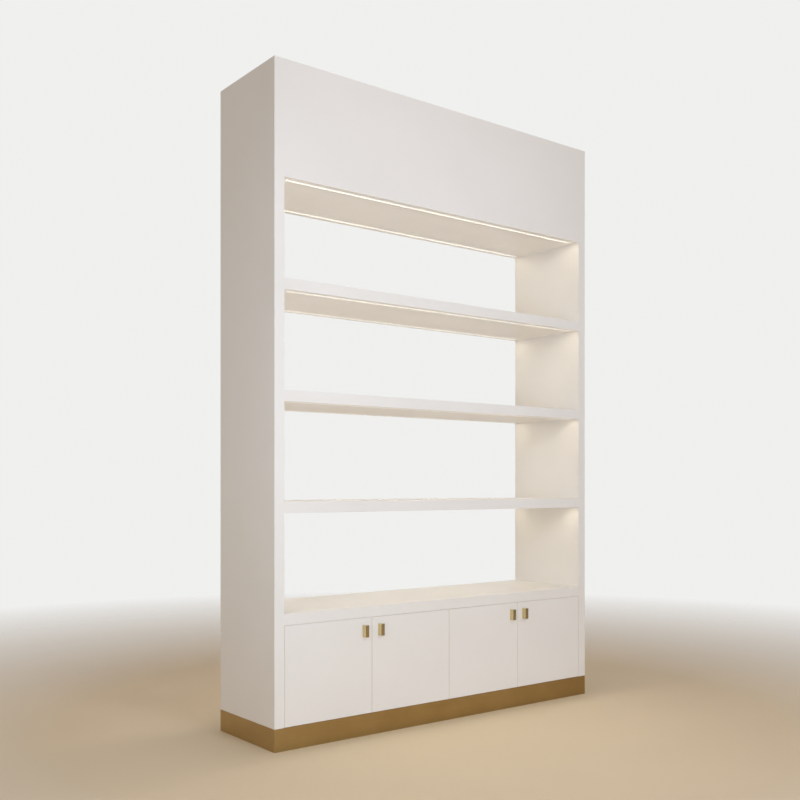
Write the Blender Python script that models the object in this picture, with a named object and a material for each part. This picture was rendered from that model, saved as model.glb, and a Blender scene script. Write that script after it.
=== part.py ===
"""Retail display unit: an open-backed shelf wall over a row of cupboards.

Metres, +Z up. The front faces -Y and the left side is at -X. The origin is on the floor, under the
middle of the unit's box, which runs from the knobs' faces to the rear edges of the boards.
"""

import math

import bmesh
import bpy
from mathutils import Matrix, Vector

# Overall sizes
WIDTH = 1.584
DEPTH = 0.395
PLINTH_HEIGHT = 0.080
CABINET_HEIGHT = 0.355
BAY_HEIGHT = 0.349
HEADER_HEIGHT = 0.409
SHELF_NAMES = ("lower", "middle", "upper")

# Boards
SIDE_THICKNESS = 0.040
SHELF_THICKNESS = 0.040
DECK_THICKNESS = 0.040
SOFFIT_THICKNESS = 0.040
FASCIA_THICKNESS = 0.018
HEADER_TOP_THICKNESS = 0.018
HEADER_TOP_RECESS = 0.010
BOTTOM_THICKNESS = 0.018
BACK_THICKNESS = 0.010
DIVIDER_THICKNESS = 0.018
EDGE_RADIUS = 0.0008

# Housing joints: stopped tongues on the boards' ends, in grooves in the side panels
TONGUE_THICKNESS = 0.012
TONGUE_LENGTH = 0.012
TONGUE_STOP = 0.030
TONGUE_ROOT = 0.006

# Plinth
SKIRT_THICKNESS = 0.002
FRONT_RAIL_THICKNESS = 0.045
RAIL_THICKNESS = 0.022

# Doors, with upright gaps and end gaps; the pivot axis is set in from the door's hinge edge
DOOR_THICKNESS = 0.020
DOOR_GAP = 0.0012
DOOR_END_GAP = 0.001
PIVOT_INSET = 0.036
SWING_CLEARANCE = 0.002

# Pivot pins, bushes and plates; a cover is the board left in front of a bush or a plate
PIN_DIAMETER = 0.004
PIN_REACH = 0.012
PIN_CLEARANCE = 0.0003
BUSH_WALL = 0.0015
BUSH_FLOOR = 0.0037
BUSH_COVER = 0.0022
PLATE_THICKNESS = 0.003
PLATE_WIDTH = 0.014
PLATE_COVER = 0.0012
PLATE_END_MARGIN = 0.014

# Knobs
KNOB_WIDTH = 0.016
KNOB_HEIGHT = 0.044
KNOB_PROJECTION = 0.020
KNOB_EDGE_RADIUS = 0.0003
KNOB_EDGE_DISTANCE = 0.035
KNOB_TOP_DISTANCE = 0.026
STUD_DIAMETER = 0.006
STUD_COVER = 0.008

# Magnetic catches, each with one magnet for either door of a pair
CATCH_DEPTH = 0.015
CATCH_WALL = 0.003
MAGNET_WIDTH = 0.016
MAGNET_HEIGHT = 0.007
MAGNET_GAP = 0.008
MAGNET_REACH = 0.001

# Light lines: an aluminium channel with its tape, closed by an opal diffuser
LIGHT_MARGIN = 0.0065
LIGHT_END_DISTANCE = 0.027
CHANNEL_WIDTH = 0.015
CHANNEL_DEPTH = 0.009
CHANNEL_WALL = 0.0012
TAPE_MARGIN = 0.0023
TAPE_THICKNESS = 0.0015
DIFFUSER_THICKNESS = 0.002
DIFFUSER_CHAMFER = 0.0005

# LED driver on the soffit, inside the header
DRIVER_LENGTH = 0.180
DRIVER_WIDTH = 0.052
DRIVER_HEIGHT = 0.032
DRIVER_EDGE_RADIUS = 0.003
DRIVER_FOOT_REACH = 0.015
DRIVER_FOOT_THICKNESS = 0.003
DRIVER_REAR_DISTANCE = 0.110

# Cable grommet in the header's top board
GROMMET_BORE = 0.060
GROMMET_FLANGE_WIDTH = 0.006
GROMMET_FLANGE_THICKNESS = 0.003
GROMMET_WALL = 0.002
GROMMET_DEPTH = 0.016
GROMMET_REAR_DISTANCE = 0.100

# Fit and facets
SEAT_GAP = 0.0003
MERGE_DISTANCE = 0.00001
ROUND_SEGMENTS = 24
EDGE_SEGMENTS = 2
SHARP_ANGLE = math.radians(30.0)

# Levels and planes that follow from the sizes above
FRONT = (KNOB_PROJECTION - DEPTH) / 2
REAR = FRONT + DEPTH
INNER = WIDTH / 2 - SIDE_THICKNESS
DECK_BOTTOM = PLINTH_HEIGHT + CABINET_HEIGHT
DECK_TOP = DECK_BOTTOM + DECK_THICKNESS
SHELF_PITCH = BAY_HEIGHT + SHELF_THICKNESS
SHELF_BOTTOMS = [DECK_TOP + BAY_HEIGHT + SHELF_PITCH * step for step in range(len(SHELF_NAMES))]
SOFFIT_BOTTOM = SHELF_BOTTOMS[-1] + SHELF_THICKNESS + BAY_HEIGHT
SOFFIT_TOP = SOFFIT_BOTTOM + SOFFIT_THICKNESS
TOP = SOFFIT_BOTTOM + HEADER_HEIGHT
HEADER_TOP_FACE = TOP - HEADER_TOP_RECESS
SOFFIT_FRONT = FRONT + FASCIA_THICKNESS + SEAT_GAP
SOFFIT_REAR = REAR - FASCIA_THICKNESS - SEAT_GAP
LIGHT_EDGE_DISTANCE = FASCIA_THICKNESS + LIGHT_MARGIN + CHANNEL_WIDTH / 2
LIGHT_END = INNER - LIGHT_END_DISTANCE

# Doors, left to right: name, and the side on which the door hangs (-1 left, 1 right)
DOORS = (("outer_left", -1), ("inner_left", 1), ("inner_right", -1), ("outer_right", 1))
DOOR_WIDTH = (2 * INNER - DOOR_GAP * (len(DOORS) + 1)) / len(DOORS)
DOOR_PITCH = DOOR_WIDTH + DOOR_GAP
DOOR_BOTTOM = PLINTH_HEIGHT + DOOR_END_GAP
DOOR_TOP = DECK_BOTTOM - DOOR_END_GAP
FACET_SHARE = math.cos(math.pi / ROUND_SEGMENTS)
BUSH_BORE_RADIUS = (PIN_DIAMETER / 2 + PIN_CLEARANCE) / FACET_SHARE
BUSH_RADIUS = PIN_DIAMETER / 2 + PIN_CLEARANCE + BUSH_WALL
BUSH_LENGTH = PIN_REACH + SEAT_GAP + BUSH_FLOOR
PIVOT_SETBACK = BUSH_COVER + BUSH_RADIUS
PIVOT_Y = FRONT + PIVOT_SETBACK
PLATE_FRONT = FRONT + SKIRT_THICKNESS + SEAT_GAP + PLATE_COVER
SWING_RADIUS = math.hypot(PIVOT_INSET, DOOR_THICKNESS - PIVOT_SETBACK)
INSIDE_FRONT = PIVOT_Y + SWING_RADIUS + SWING_CLEARANCE

# Outward directions by letter: left, right, front, back, down, up
DIRECTIONS = {
    "L": Vector((-1, 0, 0)),
    "R": Vector((1, 0, 0)),
    "F": Vector((0, -1, 0)),
    "B": Vector((0, 1, 0)),
    "D": Vector((0, 0, -1)),
    "U": Vector((0, 0, 1)),
}
ALL_EDGES = "LF LB RF RB LU RU FU BU LD RD FD BD"


def srgb(red, green, blue):
    """Linear colour, with alpha, from 8-bit display values."""
    channels = []
    for value in (red, green, blue):
        share = value / 255
        channels.append(share / 12.92 if share <= 0.04045 else ((share + 0.055) / 1.055) ** 2.4)
    return (*channels, 1.0)


def make_material(name, colour, roughness, metallic=0.0, glow=0.0):
    material = bpy.data.materials.new(name)
    material.use_nodes = True
    shader = material.node_tree.nodes["Principled BSDF"]
    shader.inputs["Base Color"].default_value = colour
    shader.inputs["Roughness"].default_value = roughness
    shader.inputs["Metallic"].default_value = metallic
    shader.inputs["Emission Color"].default_value = colour
    shader.inputs["Emission Strength"].default_value = glow
    material.diffuse_color = colour
    return material


def make_empty(name, location):
    empty = bpy.data.objects.new(name, None)
    empty.location = location
    bpy.context.scene.collection.objects.link(empty)
    return empty


def make_object(name, bm, parent, material=None):
    """An object under its parent empty, from a bmesh in world coordinates."""
    bmesh.ops.recalc_face_normals(bm, faces=bm.faces)
    bmesh.ops.translate(bm, vec=-parent.location, verts=bm.verts)
    mesh = bpy.data.meshes.new(name)
    bm.to_mesh(mesh)
    bm.free()
    mesh.shade_smooth()
    mesh.set_sharp_from_angle(angle=SHARP_ANGLE)
    if material:
        mesh.materials.append(material)
    piece = bpy.data.objects.new(name, mesh)
    piece.parent = parent
    bpy.context.scene.collection.objects.link(piece)
    return piece


def use_tool(piece, label, bm, operation):
    """Join a body to a piece, or cut it out, with a Boolean and a hidden tool object."""
    tool = make_object(f"{piece.name}_{label}", bm, piece.parent)
    tool.hide_render = True
    tool.display_type = "WIRE"
    modifier = piece.modifiers.new(label, "BOOLEAN")
    modifier.operation = operation
    modifier.solver = "EXACT"
    modifier.object = tool


def add_box(bm, low, high):
    low = Vector(low)
    high = Vector(high)
    verts = bmesh.ops.create_cube(bm, size=1.0)["verts"]
    bmesh.ops.scale(bm, vec=high - low, verts=verts)
    bmesh.ops.translate(bm, vec=(low + high) / 2, verts=verts)


def add_rod(bm, start, end, diameter):
    """A round rod between two points."""
    start = Vector(start)
    end = Vector(end)
    turn = (end - start).to_track_quat("Z", "Y").to_matrix().to_4x4()
    bmesh.ops.create_cone(
        bm,
        cap_ends=True,
        segments=ROUND_SEGMENTS,
        radius1=diameter / 2,
        radius2=diameter / 2,
        depth=(end - start).length,
        matrix=Matrix.Translation((start + end) / 2) @ turn,
    )


def facing(face):
    return max(DIRECTIONS, key=lambda letter: DIRECTIONS[letter].dot(face.normal))


def box(low, high, edges="", radius=EDGE_RADIUS):
    """A box with its named edges rounded: "FU" is the edge between the front and the upper face."""
    bm = bmesh.new()
    add_box(bm, low, high)
    bm.normal_update()
    wanted = [set(pair) for pair in edges.split()]
    chosen = [edge for edge in bm.edges if {facing(face) for face in edge.link_faces} in wanted]
    if chosen:
        bmesh.ops.bevel(bm, geom=chosen, offset=radius, segments=EDGE_SEGMENTS, profile=0.5, affect="EDGES")
    return bm


def boxes(pairs):
    """Several boxes in one mesh, as a tool for a Boolean."""
    bm = bmesh.new()
    for low, high in pairs:
        add_box(bm, low, high)
    return bm


def rods(ends, diameter):
    """Several round rods in one mesh, as a tool for a Boolean."""
    bm = bmesh.new()
    for start, end in ends:
        add_rod(bm, start, end, diameter)
    return bm


def grown(low, high, gap=SEAT_GAP):
    """The space that a piece needs: its box and the gap round it."""
    margin = Vector((gap, gap, gap))
    return Vector(low) - margin, Vector(high) + margin


def turned(profile, centre):
    """A solid turned about the vertical line through centre, from (radius, height) points."""
    bm = bmesh.new()
    verts = [bm.verts.new((centre[0] + radius, centre[1], height)) for radius, height in profile]
    edges = [bm.edges.new(pair) for pair in zip(verts, verts[1:])]
    bmesh.ops.spin(
        bm,
        geom=verts + edges,
        cent=centre,
        axis=(0, 0, 1),
        angle=math.tau,
        steps=ROUND_SEGMENTS,
    )
    bmesh.ops.remove_doubles(bm, verts=bm.verts, dist=MERGE_DISTANCE)
    return bm


def drawn(profile, low_x, high_x):
    """A straight section along X, from (y, z) points in order."""
    bm = bmesh.new()
    face = bm.faces.new([bm.verts.new((low_x, y, z)) for y, z in profile])
    copied = bmesh.ops.extrude_face_region(bm, geom=[face])["geom"]
    moved = [item for item in copied if isinstance(item, bmesh.types.BMVert)]
    bmesh.ops.translate(bm, vec=(high_x - low_x, 0, 0), verts=moved)
    return bm


def tongue(side, bottom, thickness, front, rear):
    """The stopped tongue on one end of a board, as a box that starts inside the board."""
    middle = bottom + thickness / 2
    xs = sorted((side * (INNER - TONGUE_ROOT), side * (INNER + TONGUE_LENGTH)))
    low = (xs[0], front + TONGUE_STOP, middle - TONGUE_THICKNESS / 2)
    high = (xs[1], rear - TONGUE_STOP, middle + TONGUE_THICKNESS / 2)
    return low, high


def housed_boards():
    """The boards that are tongued into the side panels: name, bottom, thickness, front and rear."""
    boards = [("cabinet_deck", DECK_BOTTOM, DECK_THICKNESS, FRONT, REAR)]
    for name, bottom in zip(SHELF_NAMES, SHELF_BOTTOMS):
        boards.append((f"shelf_{name}", bottom, SHELF_THICKNESS, FRONT, REAR))
    boards.append(("header_soffit", SOFFIT_BOTTOM, SOFFIT_THICKNESS, SOFFIT_FRONT, SOFFIT_REAR))
    return boards


def light_levels():
    """Where light lines run: name and underside height."""
    return [*zip(SHELF_NAMES, SHELF_BOTTOMS), ("header", SOFFIT_BOTTOM)]


def light_rows():
    """The two lines at each level: name and the y of the line's middle."""
    return (("front", FRONT + LIGHT_EDGE_DISTANCE), ("rear", REAR - LIGHT_EDGE_DISTANCE))


def make_plinth(carcass, timber, brass):
    half = WIDTH / 2
    skirt = SKIRT_THICKNESS
    front_strip = ((-half, FRONT, 0), (half, FRONT + skirt, PLINTH_HEIGHT))
    rear_strip = ((-half, REAR - skirt, 0), (half, REAR, PLINTH_HEIGHT))
    make_object("plinth_skirt_front", box(*front_strip, "LF RF"), carcass, brass)
    make_object("plinth_skirt_rear", box(*rear_strip, "LB RB"), carcass, brass)
    inside_front = FRONT + skirt + SEAT_GAP
    inside_rear = REAR - skirt - SEAT_GAP
    for name, side in (("left", -1), ("right", 1)):
        xs = sorted((side * half, side * (half - skirt)))
        strip = ((xs[0], inside_front, 0), (xs[1], inside_rear, PLINTH_HEIGHT))
        make_object(f"plinth_skirt_{name}", box(*strip), carcass, brass)

    reach = half - skirt - SEAT_GAP
    frame = make_object(
        "plinth_frame",
        box((-reach, inside_front, 0), (reach, inside_rear, PLINTH_HEIGHT)),
        carcass,
        timber,
    )
    over = SEAT_GAP
    hollows = []
    for side in (-1, 1):
        xs = sorted((side * RAIL_THICKNESS / 2, side * (reach - RAIL_THICKNESS)))
        low = (xs[0], inside_front + FRONT_RAIL_THICKNESS, -over)
        high = (xs[1], inside_rear - RAIL_THICKNESS, PLINTH_HEIGHT + over)
        hollows.append((low, high))
    use_tool(frame, "hollows", boxes(hollows), "DIFFERENCE")
    recesses = [grown(*plate_box(xs, "bottom")) for name, xs in plate_pins()]
    use_tool(frame, "recesses", boxes(recesses), "DIFFERENCE")


def make_side_panels(carcass, lacquer):
    for name, side, letter in (("left", -1, "L"), ("right", 1, "R")):
        xs = sorted((side * WIDTH / 2, side * INNER))
        edges = f"{letter}F {letter}B {letter}U FU BU"
        solid = box((xs[0], FRONT, PLINTH_HEIGHT + SEAT_GAP), (xs[1], REAR, TOP), edges)
        panel = make_object(f"side_panel_{name}", solid, carcass, lacquer)
        grooves = [grown(*tongue(side, *board[1:])) for board in housed_boards()]
        use_tool(panel, "grooves", boxes(grooves), "DIFFERENCE")


def make_housed_boards(carcass, lacquer):
    reach = INNER - SEAT_GAP
    lit = dict(light_levels())
    for name, bottom, thickness, front, rear in housed_boards():
        edges = "" if name == "header_soffit" else "FU FD BU BD"
        solid = box((-reach, front, bottom), (reach, rear, bottom + thickness), edges)
        board = make_object(name, solid, carcass, lacquer)
        ends = [tongue(side, bottom, thickness, front, rear) for side in (-1, 1)]
        use_tool(board, "tongues", boxes(ends), "UNION")
        if bottom in lit.values():
            grooves = [grown(*channel_box(y, bottom)) for row, y in light_rows()]
            use_tool(board, "grooves", boxes(grooves), "DIFFERENCE")
        else:
            recesses = [grown(*plate_box(xs, "top")) for plate, xs in plate_pins()]
            use_tool(board, "recesses", boxes(recesses), "DIFFERENCE")


def make_cabinet(carcass, lacquer):
    reach = INNER - SEAT_GAP
    floor = PLINTH_HEIGHT + SEAT_GAP
    ceiling = DECK_BOTTOM - SEAT_GAP
    back_front = REAR - BACK_THICKNESS
    inside_rear = back_front - SEAT_GAP
    bottom_top = floor + BOTTOM_THICKNESS
    bottom = box((-reach, INSIDE_FRONT, floor), (reach, inside_rear, bottom_top), "FU")
    make_object("cabinet_bottom", bottom, carcass, lacquer)
    back = box((-reach, back_front, floor), (reach, REAR, ceiling))
    make_object("cabinet_back", back, carcass, lacquer)
    half = DIVIDER_THICKNESS / 2
    divider = box((-half, INSIDE_FRONT, bottom_top + SEAT_GAP), (half, inside_rear, ceiling), "LF RF")
    make_object("cabinet_divider", divider, carcass, lacquer)


def make_header(carcass, lacquer, plastic, case):
    reach = INNER - SEAT_GAP
    front = box((-reach, FRONT, SOFFIT_BOTTOM), (reach, FRONT + FASCIA_THICKNESS, TOP), "FU FD")
    make_object("header_fascia_front", front, carcass, lacquer)
    rear = box((-reach, REAR - FASCIA_THICKNESS, SOFFIT_BOTTOM), (reach, REAR, TOP), "BU BD")
    make_object("header_fascia_rear", rear, carcass, lacquer)
    top_low = (-reach, SOFFIT_FRONT, HEADER_TOP_FACE - HEADER_TOP_THICKNESS)
    top = make_object("header_top", box(top_low, (reach, SOFFIT_REAR, HEADER_TOP_FACE)), carcass, lacquer)

    centre = Vector((0, REAR - GROMMET_REAR_DISTANCE, 0))
    drill_low = centre + Vector((0, 0, HEADER_TOP_FACE - HEADER_TOP_THICKNESS - SEAT_GAP))
    drill_high = centre + Vector((0, 0, HEADER_TOP_FACE + SEAT_GAP))
    use_tool(top, "bore", rods([(drill_low, drill_high)], GROMMET_BORE), "DIFFERENCE")
    spigot = GROMMET_BORE / 2 * FACET_SHARE - SEAT_GAP
    flange_bottom = HEADER_TOP_FACE + SEAT_GAP
    flange_top = flange_bottom + GROMMET_FLANGE_THICKNESS
    flange = GROMMET_BORE / 2 + GROMMET_FLANGE_WIDTH
    cap = [
        (0, flange_top),
        (flange, flange_top),
        (flange, flange_bottom),
        (spigot, flange_bottom),
        (spigot, flange_bottom - GROMMET_DEPTH),
        (spigot - GROMMET_WALL, flange_bottom - GROMMET_DEPTH),
        (spigot - GROMMET_WALL, flange_bottom),
        (0, flange_bottom),
    ]
    make_object("cable_grommet", turned(cap, centre), carcass, plastic)

    middle = REAR - DRIVER_REAR_DISTANCE
    seat = SOFFIT_TOP + SEAT_GAP
    foot_reach = DRIVER_LENGTH / 2 + DRIVER_FOOT_REACH
    foot_half = DRIVER_WIDTH / 2 - DRIVER_EDGE_RADIUS
    foot_low = (-foot_reach, middle - foot_half, seat)
    foot_high = (foot_reach, middle + foot_half, seat + DRIVER_FOOT_THICKNESS)
    driver = make_object("led_driver", box(foot_low, foot_high), carcass, case)
    body_low = (-DRIVER_LENGTH / 2, middle - DRIVER_WIDTH / 2, seat + DRIVER_FOOT_THICKNESS / 2)
    body_high = (DRIVER_LENGTH / 2, middle + DRIVER_WIDTH / 2, seat + DRIVER_HEIGHT)
    use_tool(driver, "body", box(body_low, body_high, ALL_EDGES, DRIVER_EDGE_RADIUS), "UNION")


def channel_box(y, underside):
    """The box of a light channel, with its open side level with the board's underside."""
    half = CHANNEL_WIDTH / 2
    low = (-LIGHT_END, y - half, underside)
    high = (LIGHT_END, y + half, underside + CHANNEL_DEPTH)
    return low, high


def channel_profile(y, underside):
    """A U section, open below, with the LED tape as a raised strip on its web."""
    outer = CHANNEL_WIDTH / 2
    inner = outer - CHANNEL_WALL
    strip = inner - TAPE_MARGIN
    crown = underside + CHANNEL_DEPTH
    web = crown - CHANNEL_WALL
    face = web - TAPE_THICKNESS
    mouth = [(outer, crown), (outer, underside), (inner, underside)]
    right_half = [*mouth, (inner, web), (strip, web), (strip, face)]
    left_half = [(-across, height) for across, height in reversed(right_half)]
    return [(y + across, height) for across, height in right_half + left_half]


def diffuser_profile(y, underside):
    """A flat strip in the channel's mouth, level with the underside, with its lower corners eased."""
    half = CHANNEL_WIDTH / 2 - CHANNEL_WALL - SEAT_GAP
    crown = underside + DIFFUSER_THICKNESS
    eased = half - DIFFUSER_CHAMFER
    shoulder = underside + DIFFUSER_CHAMFER
    right_half = [(half, crown), (half, shoulder), (eased, underside)]
    left_half = [(-across, height) for across, height in reversed(right_half)]
    return [(y + across, height) for across, height in right_half + left_half]


def make_lights(carcass, aluminium, opal):
    for level, underside in light_levels():
        for row, y in light_rows():
            channel = drawn(channel_profile(y, underside), -LIGHT_END, LIGHT_END)
            make_object(f"led_channel_{level}_{row}", channel, carcass, aluminium)
            diffuser = drawn(diffuser_profile(y, underside), -LIGHT_END, LIGHT_END)
            make_object(f"led_diffuser_{level}_{row}", diffuser, carcass, opal)


def door_low_x(index):
    return -INNER + DOOR_GAP + DOOR_PITCH * index


def pivot_x(index):
    """The x of a door's pivot axis."""
    low = door_low_x(index)
    hang = DOORS[index][1]
    return low + PIVOT_INSET if hang < 0 else low + DOOR_WIDTH - PIVOT_INSET


def plate_pins():
    """The pivot plates, above and below alike: name and the x of each pin on the plate."""
    return (
        ("left", [pivot_x(0)]),
        ("centre", [pivot_x(1), pivot_x(2)]),
        ("right", [pivot_x(3)]),
    )


def plate_box(xs, level):
    """The box of a pivot plate, let in flush with the plinth's top or the deck's underside."""
    face = PLINTH_HEIGHT if level == "bottom" else DECK_BOTTOM
    zs = (face - PLATE_THICKNESS, face) if level == "bottom" else (face, face + PLATE_THICKNESS)
    low = (min(xs) - PLATE_END_MARGIN, PLATE_FRONT, zs[0])
    high = (max(xs) + PLATE_END_MARGIN, PLATE_FRONT + PLATE_WIDTH, zs[1])
    return low, high


def make_pivot_plates(carcass, steel):
    for level, root, tip in (
        ("bottom", PLINTH_HEIGHT - PLATE_THICKNESS / 2, DOOR_BOTTOM + PIN_REACH),
        ("top", DECK_BOTTOM + PLATE_THICKNESS / 2, DOOR_TOP - PIN_REACH),
    ):
        for name, xs in plate_pins():
            plate = make_object(f"pivot_plate_{name}_{level}", box(*plate_box(xs, level)), carcass, steel)
            ends = [((x, PIVOT_Y, root), (x, PIVOT_Y, tip)) for x in xs]
            use_tool(plate, "pins", rods(ends, PIN_DIAMETER), "UNION")


def bush_profile(mouth, inward):
    """A blind bush, open at the door's edge; inward is 1 up into the door or -1 down into it."""
    bore = BUSH_BORE_RADIUS
    floor = mouth + inward * (BUSH_LENGTH - BUSH_FLOOR)
    end = mouth + inward * BUSH_LENGTH
    return [(0, end), (BUSH_RADIUS, end), (BUSH_RADIUS, mouth), (bore, mouth), (bore, floor), (0, floor)]


def make_door(index, lacquer, brass, bronze):
    name, hang = DOORS[index]
    low_x = door_low_x(index)
    high_x = low_x + DOOR_WIDTH
    axis = Vector((pivot_x(index), PIVOT_Y, 0))
    pivot = make_empty(f"door_{name}_pivot", axis)
    low = (low_x, FRONT, DOOR_BOTTOM)
    high = (high_x, FRONT + DOOR_THICKNESS, DOOR_TOP)
    door = make_object(f"door_{name}", box(low, high, ALL_EDGES), pivot, lacquer)

    pocket = BUSH_LENGTH + SEAT_GAP
    pockets = []
    for level, mouth, inward in (("bottom", DOOR_BOTTOM, 1), ("top", DOOR_TOP, -1)):
        bush = turned(bush_profile(mouth, inward), axis)
        make_object(f"pivot_bush_{name}_{level}", bush, pivot, bronze)
        start = axis + Vector((0, 0, mouth - inward * SEAT_GAP))
        end = axis + Vector((0, 0, mouth + inward * pocket))
        pockets.append((start, end))
    pocket_diameter = 2 * (BUSH_RADIUS + SEAT_GAP) / FACET_SHARE
    use_tool(door, "bush_pockets", rods(pockets, pocket_diameter), "DIFFERENCE")

    knob_x = high_x - KNOB_EDGE_DISTANCE if hang < 0 else low_x + KNOB_EDGE_DISTANCE
    knob_top = DOOR_TOP - KNOB_TOP_DISTANCE
    knob_low = (knob_x - KNOB_WIDTH / 2, FRONT - KNOB_PROJECTION, knob_top - KNOB_HEIGHT)
    knob_high = (knob_x + KNOB_WIDTH / 2, FRONT - SEAT_GAP, knob_top)
    knob = make_object(f"knob_{name}", box(knob_low, knob_high, ALL_EDGES, KNOB_EDGE_RADIUS), pivot, brass)
    stud_root = Vector((knob_x, FRONT - KNOB_PROJECTION / 2, knob_top - KNOB_HEIGHT / 2))
    stud_tip = Vector((knob_x, FRONT + DOOR_THICKNESS - STUD_COVER, stud_root.z))
    use_tool(knob, "stud", rods([(stud_root, stud_tip)], STUD_DIAMETER), "UNION")
    hole_end = stud_tip + Vector((0, SEAT_GAP, 0))
    hole_diameter = (STUD_DIAMETER + 2 * SEAT_GAP) / FACET_SHARE
    use_tool(door, "stud_hole", rods([(stud_root, hole_end)], hole_diameter), "DIFFERENCE")


def make_catches(carcass, plastic):
    """Double magnetic catches under the deck, where the doors of a pair meet."""
    meeting = -INNER + DOOR_GAP / 2 + DOOR_PITCH
    magnet_face = FRONT + DOOR_THICKNESS + SEAT_GAP
    body_front = magnet_face + MAGNET_REACH
    body_rear = body_front + CATCH_DEPTH
    ceiling = DECK_BOTTOM - SEAT_GAP
    magnet_top = ceiling - CATCH_WALL
    magnet_bottom = magnet_top - MAGNET_HEIGHT
    half_width = MAGNET_GAP / 2 + MAGNET_WIDTH + CATCH_WALL
    for name, x in (("left", meeting), ("right", -meeting)):
        low = (x - half_width, body_front, magnet_bottom - CATCH_WALL)
        high = (x + half_width, body_rear, ceiling)
        catch = make_object(f"magnetic_catch_{name}", box(low, high, "LD RD FD BD"), carcass, plastic)
        magnets = []
        for side in (-1, 1):
            xs = sorted((x + side * MAGNET_GAP / 2, x + side * (MAGNET_GAP / 2 + MAGNET_WIDTH)))
            magnet_low = (xs[0], magnet_face, magnet_bottom)
            magnet_high = (xs[1], body_rear - CATCH_WALL, magnet_top)
            magnets.append((magnet_low, magnet_high))
        use_tool(catch, "magnets", boxes(magnets), "UNION")


def main():
    for item in list(bpy.data.objects):
        bpy.data.objects.remove(item, do_unlink=True)

    lacquer = make_material("white_lacquer", srgb(229, 226, 221), roughness=0.42)
    brass = make_material("satin_brass", srgb(176, 141, 87), roughness=0.36, metallic=1.0)
    timber = make_material("plinth_timber", srgb(186, 152, 108), roughness=0.70)
    aluminium = make_material("anodised_aluminium", srgb(196, 198, 200), roughness=0.38, metallic=1.0)
    opal = make_material("opal_diffuser", srgb(255, 247, 230), roughness=0.45, glow=1.0)
    steel = make_material("zinc_plated_steel", srgb(168, 170, 172), roughness=0.34, metallic=1.0)
    bronze = make_material("bush_bronze", srgb(150, 112, 66), roughness=0.45, metallic=1.0)
    case = make_material("driver_case", srgb(206, 207, 206), roughness=0.50)
    plastic = make_material("grey_plastic", srgb(150, 150, 148), roughness=0.55)

    carcass = make_empty("carcass", Vector((0, 0, 0)))
    make_plinth(carcass, timber, brass)
    make_side_panels(carcass, lacquer)
    make_housed_boards(carcass, lacquer)
    make_cabinet(carcass, lacquer)
    make_header(carcass, lacquer, plastic, case)
    make_lights(carcass, aluminium, opal)
    make_pivot_plates(carcass, steel)
    for index in range(len(DOORS)):
        make_door(index, lacquer, brass, bronze)
    make_catches(carcass, plastic)


main()
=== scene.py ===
# Looks for the retail display unit: camera, studio light, materials and small fittings
import math

import bmesh
import bpy
from mathutils import Matrix, Vector


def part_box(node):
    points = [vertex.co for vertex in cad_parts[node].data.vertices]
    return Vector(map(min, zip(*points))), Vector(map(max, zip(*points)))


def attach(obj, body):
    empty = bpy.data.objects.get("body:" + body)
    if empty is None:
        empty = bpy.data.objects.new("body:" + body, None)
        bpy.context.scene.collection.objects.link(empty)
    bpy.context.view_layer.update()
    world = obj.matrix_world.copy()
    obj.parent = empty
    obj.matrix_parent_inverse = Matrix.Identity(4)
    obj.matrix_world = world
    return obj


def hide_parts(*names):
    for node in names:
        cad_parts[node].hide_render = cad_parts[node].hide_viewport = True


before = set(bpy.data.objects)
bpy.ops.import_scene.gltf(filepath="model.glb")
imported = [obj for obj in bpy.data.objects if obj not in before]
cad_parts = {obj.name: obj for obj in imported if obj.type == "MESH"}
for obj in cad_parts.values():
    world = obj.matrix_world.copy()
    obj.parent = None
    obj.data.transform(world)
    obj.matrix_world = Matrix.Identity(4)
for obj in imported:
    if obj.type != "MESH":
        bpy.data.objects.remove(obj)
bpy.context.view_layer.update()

# Camera, matched to the photograph's 800 by 800 frame
CAMERA_PLACE = (-2.52768, -3.12038, 0.91882)
CAMERA_YAW = math.radians(37.894)
CAMERA_SENSOR = 36.0
CAMERA_LENS = 44.2455
CAMERA_RISE = 0.10742

# Room: its light on the part, and what is seen, which fades by Y from the room in front to the backdrop
ROOM_LIGHT = (1.0, 0.878, 0.793)
ROOM_STRENGTH = 0.426
ROOM_IN_FRONT = (0.20, 0.20, 0.20)
BACKDROP = (0.87, 0.87, 0.86)
BACKDROP_FADE = (-0.65, 0.05)

# Floor: two tones that differ by a factor, and the distances between which it fades into the background
FLOOR_COLOUR = (0.72, 0.60, 0.43)
FLOOR_MOTTLE = 1.02
FLOOR_RADIUS = 16.0
FLOOR_SEGMENTS = 96
FLOOR_FADE = (1.4, 4.6)

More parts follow.
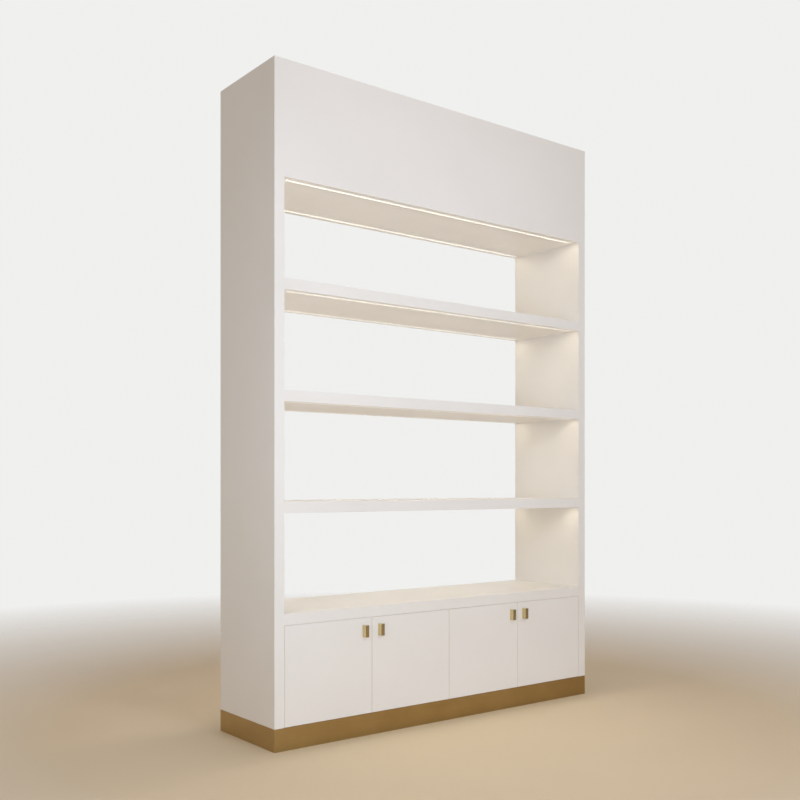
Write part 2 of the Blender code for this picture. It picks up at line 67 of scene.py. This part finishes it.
# Lamps, each a disc, with its power in watts and its spread in degrees
LAMPS = {
    "key": dict(
        place=(-0.5, -3.4, 2.65), aim=(-0.05, -0.19, 1.4),
        size=0.9, colour=(0.92, 0.95, 1.0), power=20.8, spread=140.0,
    ),
    "fill": dict(
        place=(-0.8, -3.4, 0.12), aim=(0.0, 0.0, 1.4),
        size=2.0, colour=(0.60, 0.77, 1.0), power=23.6, spread=110.0,
    ),
    "side": dict(
        place=(-1.95, -1.0, 1.15), aim=(-0.79, -0.1, 1.2),
        size=1.0, colour=(0.758, 0.896, 1.0), power=5.4, spread=180.0,
    ),
    "rear": dict(
        place=(0.2, 2.6, 0.62), aim=(0.0, 0.0, 1.7),
        size=1.0, colour=(1.0, 0.88, 0.70), power=2.0, spread=75.0,
    ),
    "over": dict(
        place=(0.0, -0.3, 8.0), aim=(0.0, -0.3, 0.0),
        size=1.2, colour=(1.0, 0.93, 0.82), power=2.2, spread=32.0,
    ),
    "right": dict(
        place=(2.6, 0.35, 1.5), aim=(0.79, 0.0, 1.75),
        size=1.0, colour=(0.85, 0.93, 1.0), power=6.0, spread=90.0,
    ),
    "behind": dict(
        place=(0.0, 2.8, 2.7), aim=(0.0, 0.2, 2.25),
        size=1.2, colour=(1.0, 0.94, 0.86), power=1.2, spread=60.0,
    ),
}

# Light lines: the light that they cast, how the camera sees them, and the share left at their edges
GLOW_COLOUR = (1.0, 0.91, 0.71)
GLOW_STRENGTH = 10.0
GLOW_SEEN = 0.37
GLOW_SEEN_COLOUR = (0.98, 0.99, 1.0)
GLOW_EDGE = 0.82

# Ripple along the light lines from the lamps inside: its range, and its radians per metre
GLOW_RIPPLE = (0.96, 1.04)
GLOW_RIPPLE_RADIANS = 750.0

# Joint fillers between the boards' ends and the side panels
FILLED_BOARDS = (
    "cabinet_deck", "shelf_lower", "shelf_middle", "shelf_upper",
    "header_soffit", "header_fascia_front", "header_fascia_rear",
)
FILLER_REACH = 0.004
FILLER_EASED = 0.0005

# Lip under the deck's front edge, above the doors
LIP_DROP = 0.00015
LIP_DEPTH = 0.0025
LIP_BED = 0.001
LIP_SETBACK = 0.00005
LIP_EASED = 0.0001

# Screw heads and washers: shares of the radius and the rise at each ring, and the cross recess
SCREW_SEGMENTS = 20
SCREW_RINGS = ((1.0, -0.2), (1.0, 0.35), (0.84, 0.85), (0.62, 1.0))
WASHER_RINGS = ((1.0, -0.2), (1.0, 0.7), (0.94, 1.0))
CROSS_ARM = 0.46
CROSS_HALF = 0.13
CROSS_FLOOR = 0.3

# Fittings on the pivot plates, the catches and the doors' backs; each screw and washer is (radius, rise)
PLATE_THICKNESS = 0.003
PLATE_SCREW = (0.0024, 0.00045)
PLATE_SCREW_INSET = (0.0045, 0.0085)
PLATE_SCREW_MIDDLE = 0.012
CATCH_SCREW = (0.0026, 0.0012)
CATCH_SCREW_SPREAD = 0.013
STRIKE_EDGE = 0.0044
STRIKE_LENGTH = 0.026
STRIKE_HEIGHT = 0.009
STRIKE_TOP = 0.0014
STRIKE_RISE = 0.00012
STRIKE_BED = 0.0004
STRIKE_CORNER = 0.0015
STRIKE_SCREW = (0.0021, 0.0004)
STRIKE_SCREW_INSET = 0.0045
KNOB_WASHER = (0.0058, 0.0006)
KNOB_SCREW = (0.0042, 0.0018)

# Doors, and the side of their free edge (-1 left, 1 right)
DOORS = {"outer_left": 1, "inner_left": -1, "inner_right": 1, "outer_right": -1}

# Grommet: (radius, height from the flange's top) along its dished lid, rim, flange and skirt
LID_SEGMENTS = 64
LID_MIDDLE = -0.0011
LID_TOP = ((0.0120, -0.0010), (0.0235, -0.0006), (0.0255, -0.0004), (0.0260, -0.0016))
LID_RIM = ((0.0272, -0.0016), (0.0277, -0.0003), (0.0290, 0.0), (0.0340, 0.0), (0.0353, -0.0005))
LID_FLANGE = ((0.0360, -0.0016), (0.0360, -0.0030), (0.0292, -0.0030))
LID_SKIRT = ((0.0292, -0.0190), (0.0274, -0.0190), (0.0274, -0.0032))

# Edges between faces that turn by more than this stay sharp
SMOOTH_ANGLE = math.radians(35.0)


def srgb(red, green, blue):
    """Linear colour of an 8-bit screen colour."""
    out = []
    for channel in (red, green, blue):
        value = channel / 255
        out.append(value / 12.92 if value <= 0.04045 else ((value + 0.055) / 1.055) ** 2.4)
    return (*out, 1.0)


# Tones of the finishes, dark and light where there are two
LACQUER_TONES = (srgb(242, 239, 234), srgb(246, 243, 239))
# Warm tone painted on the doors' narrow edges: painted light for the warm light inside the gaps between the
# doors
PAINTED_GAP_LIGHT_TONE = srgb(241, 229, 209)
# The plinth and the knobs are one brass in two copies: the plinth's tones are darker, a painted shade for
# the dim light that it shows, and the knobs' tones are lighter, painted light for their brightly lit faces
PLINTH_SHADED_TONES = (srgb(171, 143, 94), srgb(188, 160, 109))
KNOB_LIT_TONES = (srgb(214, 193, 143), srgb(224, 205, 157))
OPAL_TONE = srgb(232, 233, 234)
ALUMINIUM_TONES = (srgb(214, 213, 210), srgb(234, 233, 230))
ZINC_TONES = (srgb(168, 170, 172), srgb(200, 202, 203))
BRONZE_TONES = (srgb(150, 104, 58), srgb(178, 130, 80))
DRIVER_TONES = (srgb(214, 214, 210), srgb(224, 224, 220))
GREY_TONES = (srgb(120, 122, 124), srgb(136, 138, 139))
TIMBER_TONES = (srgb(176, 138, 94), srgb(212, 180, 136))

# Stretch of the patterns that run one way: fine across the lines, coarse along them
BRUSHED_ALONG_FLOOR = (4.0, 4.0, 1500.0)
BRUSHED_UPRIGHT = (1500.0, 1500.0, 9.0)
DRAWN_ALONG_X = (3.0, 1400.0, 1400.0)
TURNED_ROUND_Z = (300.0, 300.0, 2500.0)
RINGS_ALONG_X = (2.2, 26.0, 60.0)
FIBRE_ALONG_X = (30.0, 900.0, 900.0)

# Roughness of the two brass finishes, from the smooth lines to the rough ones
PLINTH_ROUGHNESS = (0.30, 0.44)
KNOB_ROUGHNESS = (0.13, 0.20)


class Graph:
    """The node tree of a material or a world, with short calls for the nodes that they share."""

    def __init__(self, holder):
        holder.use_nodes = True
        self.holder = holder
        self.tree = holder.node_tree

    def add(self, kind, inputs, **settings):
        made = self.tree.nodes.new(kind)
        for key, value in settings.items():
            setattr(made, key, value)
        for key, value in inputs.items():
            self.feed(made.inputs[key], value)
        return made

    def feed(self, socket, value):
        """Links a socket to another node's output, or sets its value."""
        if isinstance(value, bpy.types.NodeSocket):
            self.tree.links.new(value, socket)
        else:
            socket.default_value = value

    def shade(self, **inputs):
        """Feeds the material's shader, with Base_Color for Base Color and so on."""
        shader = self.tree.nodes["Principled BSDF"]
        for key, value in inputs.items():
            self.feed(shader.inputs[key.replace("_", " ")], value)
        return shader

    def place(self, stretch=(1.0, 1.0, 1.0), kind="Object"):
        """Coordinates on the part in metres, or those of another kind, stretched along each axis."""
        source = self.add("ShaderNodeTexCoord", {}).outputs[kind]
        return self.add("ShaderNodeMapping", {"Vector": source, "Scale": stretch}).outputs["Vector"]

    def axis(self, place, letter):
        """One coordinate of a place or a direction."""
        return self.add("ShaderNodeSeparateXYZ", {"Vector": place}).outputs[letter]

    def noise(self, place, scale=1.0, detail=2.0, roughness=0.5):
        inputs = {"Vector": place, "Scale": scale, "Detail": detail, "Roughness": roughness}
        return self.add("ShaderNodeTexNoise", inputs).outputs["Fac"]

    def spread(self, value, low=0.0, high=1.0, start=0.3, stop=0.7, **settings):
        """Maps start to stop, by default the middle of a pattern's range, onto low to high."""
        inputs = {"Value": value, "From Min": start, "From Max": stop, "To Min": low, "To Max": high}
        return self.add("ShaderNodeMapRange", inputs, **settings).outputs["Result"]

    def mix(self, factor, first, second):
        """Mixes two colours, by the numbers of the node's colour sockets."""
        return self.add("ShaderNodeMix", {0: factor, 6: first, 7: second}, data_type="RGBA").outputs[2]

    def work_out(self, operation, *values, **settings):
        inputs = dict(enumerate(values))
        return self.add("ShaderNodeMath", inputs, operation=operation, **settings).outputs[0]

    def bump(self, height, strength, distance):
        inputs = {"Height": height, "Strength": strength, "Distance": distance}
        return self.add("ShaderNodeBump", inputs).outputs["Normal"]

    def seen_ray(self):
        """One for what is seen, straight, mirrored or through glass, and nought for cast light."""
        path = self.add("ShaderNodeLightPath", {}).outputs
        total = path["Is Camera Ray"]
        for name in ("Is Glossy Ray", "Is Transmission Ray"):
            total = self.work_out("ADD", total, path[name], use_clamp=True)
        return total

    def mix_shaders(self, factor, first, second, output):
        """Mixes two shaders into the output."""
        mixed = self.add("ShaderNodeMixShader", {0: factor, 1: first.outputs[0], 2: second.outputs[0]})
        self.feed(output.inputs["Surface"], mixed.outputs[0])


def new_graph(name):
    """The graph of a new material."""
    return Graph(bpy.data.materials.new(name))


def white_lacquer(name, painted_gap_light=False):
    """Sprayed satin lacquer: faint clouding, uneven sheen and the fine ripple that a spray gun leaves.

    On a door's narrow edges a warm tone is painted in: painted light, standing in for the warm light inside
    the gaps between the doors.
    """
    graph = new_graph(name)
    place = graph.place()
    cloud = graph.spread(graph.noise(place, scale=2.6, detail=4.0))
    colour = graph.mix(cloud, *LACQUER_TONES)
    # Painted light: the doors' narrow edges take a warm tone for the light inside the gaps
    if painted_gap_light:
        facing = graph.axis(graph.place(kind="Normal"), "Y")
        squared = graph.work_out("MULTIPLY", facing, facing)
        edge = graph.spread(squared, low=1.0, high=0.0, start=0.0, stop=0.5)
        colour = graph.mix(edge, colour, PAINTED_GAP_LIGHT_TONE)
    handled = graph.noise(place, scale=11.0, detail=5.0, roughness=0.6)
    coarse = graph.noise(place, scale=380.0)
    fine = graph.noise(place, scale=1300.0, detail=1.0)
    graph.shade(
        Base_Color=colour,
        Roughness=graph.spread(handled, low=0.36, high=0.47),
        Normal=graph.bump(graph.work_out("ADD", coarse, fine), strength=0.10, distance=0.00025),
        Specular_IOR_Level=0.45,
    )
    return graph.holder


def brushed_brass(name, stretch, tones, roughness):
    """Satin brass with fine brush lines along one direction and a slow drift of tone."""
    graph = new_graph(name)
    lines = graph.noise(graph.place(stretch), detail=3.0, roughness=0.7)
    drift = graph.noise(graph.place(), scale=5.0, detail=4.0, roughness=0.6)
    tone = graph.spread(graph.work_out("ADD", lines, drift), start=0.7, stop=1.3)
    graph.shade(
        Base_Color=graph.mix(tone, *tones),
        Metallic=1.0,
        Roughness=graph.spread(lines, *roughness),
        Normal=graph.bump(lines, strength=0.12, distance=0.0003),
    )
    return graph.holder


def opal_glow(name):
    """Opal cover of a light line: brightest along its middle, with the lamps behind it just showing."""
    graph = new_graph(name)
    across = graph.work_out("SUBTRACT", graph.axis(graph.place(kind="Generated"), "Y"), 0.5)
    from_middle = graph.work_out("MULTIPLY", across, across)
    middle = graph.spread(from_middle, low=1.0, high=GLOW_EDGE, start=0.0, stop=0.25)
    along = graph.axis(graph.place((GLOW_RIPPLE_RADIANS, 1.0, 1.0)), "X")
    ripple = graph.spread(graph.work_out("SINE", along), *GLOW_RIPPLE, start=-1.0, stop=1.0)
    seen = graph.add("ShaderNodeLightPath", {}).outputs["Is Camera Ray"]
    level = graph.spread(seen, low=GLOW_STRENGTH, high=GLOW_SEEN, start=0.0, stop=1.0)
    grain = graph.noise(graph.place(), scale=300.0)
    graph.shade(
        Base_Color=OPAL_TONE,
        Roughness=graph.spread(grain, low=0.45, high=0.6),
        Emission_Color=graph.mix(seen, (*GLOW_COLOUR, 1.0), (*GLOW_SEEN_COLOUR, 1.0)),
        Emission_Strength=graph.work_out("MULTIPLY", graph.work_out("MULTIPLY", middle, ripple), level),
    )
    return graph.holder


def drawn_aluminium(name):
    """Anodised extrusion with die lines along its length."""
    graph = new_graph(name)
    lines = graph.noise(graph.place(DRAWN_ALONG_X), detail=3.0, roughness=0.6)
    graph.shade(
        Base_Color=graph.mix(graph.spread(lines), *ALUMINIUM_TONES),
        Metallic=1.0,
        Roughness=graph.spread(lines, low=0.42, high=0.55),
        Normal=graph.bump(lines, strength=0.08, distance=0.0002),
    )
    return graph.holder


def plated_steel(name):
    """Zinc plate: a fine frosted crystal with a slow change of brightness."""
    graph = new_graph(name)
    place = graph.place()
    crystal = graph.add("ShaderNodeTexVoronoi", {"Vector": place, "Scale": 900.0}).outputs["Distance"]
    drift = graph.noise(place, scale=60.0, detail=3.0)
    tone = graph.spread(graph.work_out("ADD", crystal, drift), start=0.5, stop=1.3)
    graph.shade(
        Base_Color=graph.mix(tone, *ZINC_TONES),
        Metallic=1.0,
        Roughness=graph.spread(drift, low=0.30, high=0.45),
        Normal=graph.bump(crystal, strength=0.06, distance=0.0002),
    )
    return graph.holder


def turned_bronze(name):
    """Bearing bronze with fine turning marks round its axis."""
    graph = new_graph(name)
    marks = graph.noise(graph.place(TURNED_ROUND_Z))
    graph.shade(
        Base_Color=graph.mix(graph.spread(marks), *BRONZE_TONES),
        Metallic=1.0,
        Roughness=graph.spread(marks, low=0.32, high=0.48),
        Normal=graph.bump(marks, strength=0.1, distance=0.0002),
    )
    return graph.holder


def moulded_plastic(name, tones):
    """Moulded plastic with a spark-eroded grain."""
    graph = new_graph(name)
    place = graph.place()
    grain = graph.noise(place, scale=1800.0)
    drift = graph.spread(graph.noise(place, scale=14.0, detail=4.0))
    graph.shade(
        Base_Color=graph.mix(drift, *tones),
        Roughness=graph.spread(grain, low=0.42, high=0.58),
        Normal=graph.bump(grain, strength=0.18, distance=0.0002),
    )
    return graph.holder


def sawn_timber(name):
    """Softwood frame: growth rings stretched along the grain, with fine fibre."""
    graph = new_graph(name)
    rings = graph.noise(graph.place(RINGS_ALONG_X), detail=3.0, roughness=0.55)
    fibre = graph.noise(graph.place(FIBRE_ALONG_X))
    tone = graph.spread(graph.work_out("ADD", rings, fibre), start=0.7, stop=1.3)
    graph.shade(
        Base_Color=graph.mix(tone, *TIMBER_TONES),
        Roughness=graph.spread(fibre, low=0.62, high=0.78),
        Normal=graph.bump(fibre, strength=0.25, distance=0.0005),
    )
    return graph.holder


# Finishes by material slot, and two that knobs and doors have for themselves
FINISHES = {
    "white_lacquer": white_lacquer("satin_white_lacquer"),
    "door_lacquer": white_lacquer("door_lacquer", painted_gap_light=True),
    "satin_brass": brushed_brass("brushed_brass_long", BRUSHED_ALONG_FLOOR, PLINTH_SHADED_TONES, PLINTH_ROUGHNESS),
    "knob_brass": brushed_brass("brushed_brass_upright", BRUSHED_UPRIGHT, KNOB_LIT_TONES, KNOB_ROUGHNESS),
    "plinth_timber": sawn_timber("sawn_softwood"),
    "aluminium": drawn_aluminium("anodised_aluminium"),
    "opal_diffuser": opal_glow("opal_glow"),
    "zinc_steel": plated_steel("zinc_plated_steel"),
    "bush_bronze": turned_bronze("turned_bronze"),
    "driver_case": moulded_plastic("driver_plastic", DRIVER_TONES),
    "grey_plastic": moulded_plastic("grey_plastic", GREY_TONES),
}
OWN_FINISHES = {"knob": "knob_brass", "door": "door_lacquer"}


def dress_nodes():
    """Gives each CAD node its own finish, by its name's first word, or that of its material slot."""
    for name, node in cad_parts.items():
        own = OWN_FINISHES.get(name.split("_")[0])
        for holder in node.material_slots:
            slot = holder.material.name.split(".")[0]
            holder.material = FINISHES[own or slot]


def make_piece(name, shape, body, slot):
    """A new piece from a bmesh in the frame's coordinates, riding on a body."""
    bmesh.ops.recalc_face_normals(shape, faces=shape.faces)
    mesh = bpy.data.meshes.new(name)
    shape.to_mesh(mesh)
    shape.free()
    mesh.shade_smooth()
    mesh.set_sharp_from_angle(angle=SMOOTH_ANGLE)
    mesh.materials.append(FINISHES[slot])
    piece = bpy.data.objects.new(name, mesh)
    bpy.context.scene.collection.objects.link(piece)
    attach(piece, body)
    return piece


def join_rings(shape, first, second):
    """Side faces between two closed rings of as many points."""
    for step in range(len(first)):
        shape.faces.new((first[step - 1], first[step], second[step], second[step - 1]))


def add_prism(shape, outlines):
    """A closed solid between two outlines of as many points."""
    ends = [[shape.verts.new(spot) for spot in outline] for outline in outlines]
    join_rings(shape, *ends)
    for ring in ends:
        shape.faces.new(ring)


def add_turned(shape, turn, profile, segments):
    """Rings round Z at each (radius, height), put in place and joined; returns the rings."""
    rings = []
    for radius, height in profile:
        ring = []
        for step in range(segments):
            angle = math.tau * step / segments
            spot = Vector((radius * math.cos(angle), radius * math.sin(angle), height))
            ring.append(shape.verts.new(turn @ spot))
        rings.append(ring)
    for first, second in zip(rings, rings[1:]):
        join_rings(shape, first, second)
    return rings


def stand_on(place, axis):
    """The matrix that takes what is made round Z to a place, along an axis."""
    return Matrix.Translation(place) @ Vector(axis).to_track_quat("Z", "Y").to_matrix().to_4x4()


def eased_outline(low, high, cut):
    """The corner points of a rectangle with its corners cut."""
    (a, b), (c, d) = low, high
    left = [(a, d - cut), (a, b + cut), (a + cut, b)]
    right = [(c - cut, b), (c, b + cut), (c, d - cut)]
    return [*left, *right, (c - cut, d), (a + cut, d)]


def add_frame_plate(shape, xs, low, high):
    """A thin plate across X with an open middle, as wide round as the filler reaches."""
    inner_low = [value + FILLER_REACH for value in low]
    inner_high = [value - FILLER_REACH for value in high]
    outer = eased_outline(low, high, FILLER_EASED)
    inner = eased_outline(inner_low, inner_high, FILLER_EASED)
    rings = []
    for x, outline in ((xs[0], outer), (xs[1], outer), (xs[1], inner), (xs[0], inner)):
        rings.append([shape.verts.new((x, y, z)) for y, z in outline])
    for step in range(len(rings)):
        join_rings(shape, rings[step - 1], rings[step])


def make_joint_fillers():
    """Painted filler in the fine joints between the boards' ends and the side panels."""
    left_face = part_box("side_panel_left")[1][0]
    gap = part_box("header_fascia_front")[0][0] - left_face
    for name in FILLED_BOARDS:
        low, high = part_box(name)
        shape = bmesh.new()
        for xs in ((left_face, left_face + gap), (-left_face - gap, -left_face)):
            add_frame_plate(shape, xs, low[1:], high[1:])
        make_piece(f"joint_filler_{name}", shape, "carcass", "white_lacquer")


def make_deck_lip():
    """The edging strip's lip, which stands a little below the deck and narrows the gap over the doors."""
    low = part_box("cabinet_deck")[0]
    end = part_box("side_panel_right")[0][0] - LIP_SETBACK
    front = low[1] + LIP_SETBACK
    outline = eased_outline((front, low[2] - LIP_DROP), (front + LIP_DEPTH, low[2] + LIP_BED), LIP_EASED)
    shape = bmesh.new()
    add_prism(shape, [[(x, y, z) for y, z in outline] for x in (-end, end)])
    make_piece("deck_lip", shape, "carcass", "white_lacquer")


def add_screw(shape, place, axis, size):
    """A domed screw head with a cross recess, bedded a little into the face that it holds."""
    radius, rise = size
    turn = stand_on(place, axis)
    profile = [(radius * share, rise * height) for share, height in SCREW_RINGS]
    rings = add_turned(shape, turn, profile, SCREW_SEGMENTS)
    shape.faces.new(rings[0])
    arm = radius * CROSS_ARM
    half = radius * CROSS_HALF
    quarter = [(arm, -half), (arm, half), (half, half)]
    outline = []
    for across, along in ((1, 0), (0, 1), (-1, 0), (0, -1)):
        outline += [(across * x - along * y, along * x + across * y) for x, y in quarter]
    mouth = [shape.verts.new(turn @ Vector((x, y, rise))) for x, y in outline]
    floor = [shape.verts.new(turn @ Vector((x, y, rise * CROSS_FLOOR))) for x, y in outline]
    join_rings(shape, mouth, floor)
    shape.faces.new(floor)
    edges = []
    for ring in (rings[-1], mouth):
        edges += [shape.edges.get((ring[step - 1], ring[step])) for step in range(len(ring))]
    bmesh.ops.triangle_fill(shape, edges=edges, use_beauty=True)


def make_plate_screws():
    """The screws of the pivot plates, above and below the doors."""
    inset_x, inset_y = PLATE_SCREW_INSET
    for side in ("left", "centre", "right"):
        for level, axis in (("bottom", (0, 0, 1)), ("top", (0, 0, -1))):
            low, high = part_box(f"pivot_plate_{side}_{level}")
            face = low[2] + PLATE_THICKNESS if level == "bottom" else high[2] - PLATE_THICKNESS
            xs = [low[0] + inset_x, high[0] - inset_x]
            if side == "centre":
                xs += [-PLATE_SCREW_MIDDLE, PLATE_SCREW_MIDDLE]
            shape = bmesh.new()
            for x in xs:
                add_screw(shape, (x, low[1] + inset_y, face), axis, PLATE_SCREW)
            make_piece(f"plate_screws_{side}_{level}", shape, "carcass", "zinc_steel")


def make_catch_screws():
    """The screws that hold each magnetic catch up to the deck."""
    for side in ("left", "right"):
        low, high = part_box(f"magnetic_catch_{side}")
        shape = bmesh.new()
        for offset in (-CATCH_SCREW_SPREAD, CATCH_SCREW_SPREAD):
            place = ((low[0] + high[0]) / 2 + offset, (low[1] + high[1]) / 2, low[2])
            add_screw(shape, place, (0, 0, -1), CATCH_SCREW)
        make_piece(f"catch_screws_{side}", shape, "carcass", "zinc_steel")


def make_strike(door, free_side):
    """The steel strike for the magnet, let into the back of a door near its free edge."""
    low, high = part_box(f"door_{door}")
    back = high[1]
    edge = high[0] if free_side > 0 else low[0]
    near = edge - free_side * STRIKE_EDGE
    far = edge - free_side * (STRIKE_EDGE + STRIKE_LENGTH)
    top = high[2] - STRIKE_TOP
    bottom = top - STRIKE_HEIGHT
    outline = eased_outline((min(near, far), bottom), (max(near, far), top), STRIKE_CORNER)
    shape = bmesh.new()
    add_prism(shape, [[(x, y, z) for x, z in outline] for y in (back - STRIKE_BED, back + STRIKE_RISE)])
    place = (far + free_side * STRIKE_SCREW_INSET, back + STRIKE_RISE, (bottom + top) / 2)
    add_screw(shape, place, (0, 1, 0), STRIKE_SCREW)
    make_piece(f"strike_{door}", shape, f"door_{door}", "zinc_steel")


def make_knob_screw(door):
    """The knob's fixing screw on its washer, on a door's back."""
    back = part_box(f"door_{door}")[1][1]
    centre = [(first + second) / 2 for first, second in zip(*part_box(f"knob_{door}"))]
    radius, rise = KNOB_WASHER
    profile = [(radius * share, rise * height) for share, height in WASHER_RINGS]
    shape = bmesh.new()
    rings = add_turned(shape, stand_on((centre[0], back, centre[2]), (0, 1, 0)), profile, SCREW_SEGMENTS)
    shape.faces.new(rings[0])
    shape.faces.new(rings[-1])
    add_screw(shape, (centre[0], back + rise, centre[2]), (0, 1, 0), KNOB_SCREW)
    make_piece(f"knob_screw_{door}", shape, f"door_{door}", "zinc_steel")


def make_grommet_lid():
    """The cable grommet with a rounded rim, a groove round its lid and a dished middle."""
    low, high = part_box("cable_grommet")
    centre = Vector(((low[0] + high[0]) / 2, (low[1] + high[1]) / 2, high[2]))
    shape = bmesh.new()
    profile = (*LID_TOP, *LID_RIM, *LID_FLANGE, *LID_SKIRT)
    rings = add_turned(shape, Matrix.Translation(centre), profile, LID_SEGMENTS)
    for ring, height in ((rings[0], LID_MIDDLE), (rings[-1], LID_SKIRT[-1][1])):
        middle = shape.verts.new(centre + Vector((0.0, 0.0, height)))
        for step in range(LID_SEGMENTS):
            shape.faces.new((ring[step - 1], ring[step], middle))
    lid = make_piece("grommet_lid", shape, "carcass", "grey_plastic")
    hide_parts("cable_grommet")


def make_world():
    """Even room light on the part; the pale backdrop and the dimmer room in front are only seen."""
    world = bpy.data.worlds.new("studio")
    graph = Graph(world)
    graph.tree.nodes.clear()
    facing = graph.axis(graph.add("ShaderNodeTexCoord", {}).outputs["Generated"], "Y")
    in_front = graph.spread(facing, 1.0, 0.0, *BACKDROP_FADE, interpolation_type="SMOOTHSTEP")
    tone = graph.mix(in_front, (*BACKDROP, 1.0), (*ROOM_IN_FRONT, 1.0))
    lit = graph.add("ShaderNodeBackground", {"Color": (*ROOM_LIGHT, 1.0), "Strength": ROOM_STRENGTH})
    seen = graph.add("ShaderNodeBackground", {"Color": tone})
    output = graph.add("ShaderNodeOutputWorld", {})
    graph.mix_shaders(graph.seen_ray(), lit, seen, output)
    bpy.context.scene.world = world


def make_floor():
    """A pale floor that keeps the shadow and fades into the background far from the part."""
    mesh = bpy.data.meshes.new("floor")
    shape = bmesh.new()
    bmesh.ops.create_circle(shape, cap_ends=True, segments=FLOOR_SEGMENTS, radius=FLOOR_RADIUS)
    shape.to_mesh(mesh)
    shape.free()
    floor = bpy.data.objects.new("floor", mesh)
    bpy.context.scene.collection.objects.link(floor)
    graph = new_graph("pale_floor")
    place = graph.place()
    mottle = graph.spread(graph.noise(place, scale=1.6, detail=4.0))
    lighter = [channel * FLOOR_MOTTLE for channel in FLOOR_COLOUR]
    shader = graph.shade(
        Base_Color=graph.mix(mottle, (*FLOOR_COLOUR, 1.0), (*lighter, 1.0)),
        Roughness=0.7,
        Specular_IOR_Level=0.25,
    )
    distance = graph.add("ShaderNodeVectorMath", {0: place}, operation="LENGTH").outputs["Value"]
    fade = graph.spread(distance, 0.0, 1.0, *FLOOR_FADE)
    clear = graph.add("ShaderNodeBsdfTransparent", {})
    output = graph.tree.nodes["Material Output"]
    graph.mix_shaders(graph.work_out("MULTIPLY", fade, graph.seen_ray()), shader, clear, output)
    mesh.materials.append(graph.holder)


def make_lamp(name, place, aim, size, colour, power, spread):
    """A disc lamp that faces its aim."""
    light = bpy.data.lights.new(name, "AREA")
    light.shape = "DISK"
    light.size = size
    light.energy = power
    light.color = colour
    light.spread = math.radians(spread)
    lamp = bpy.data.objects.new(name, light)
    lamp.location = place
    lamp.rotation_euler = (Vector(aim) - Vector(place)).to_track_quat("-Z", "Y").to_euler()
    bpy.context.scene.collection.objects.link(lamp)


def make_camera():
    """A level camera at the photograph's place, with the rise that its framing needs."""
    data = bpy.data.cameras.new("camera")
    data.sensor_width = CAMERA_SENSOR
    data.lens = CAMERA_LENS
    data.shift_y = CAMERA_RISE
    camera = bpy.data.objects.new("camera", data)
    camera.location = CAMERA_PLACE
    camera.rotation_euler = (math.pi / 2, 0.0, -CAMERA_YAW)
    bpy.context.scene.collection.objects.link(camera)
    bpy.context.scene.camera = camera


bpy.context.scene.view_settings.view_transform = "Standard"
dress_nodes()
make_joint_fillers()
make_deck_lip()
make_plate_screws()
make_catch_screws()
for door, free_side in DOORS.items():
    make_strike(door, free_side)
    make_knob_screw(door)
make_grommet_lid()
make_world()
make_floor()
for name, settings in LAMPS.items():
    make_lamp(name, **settings)
make_camera()
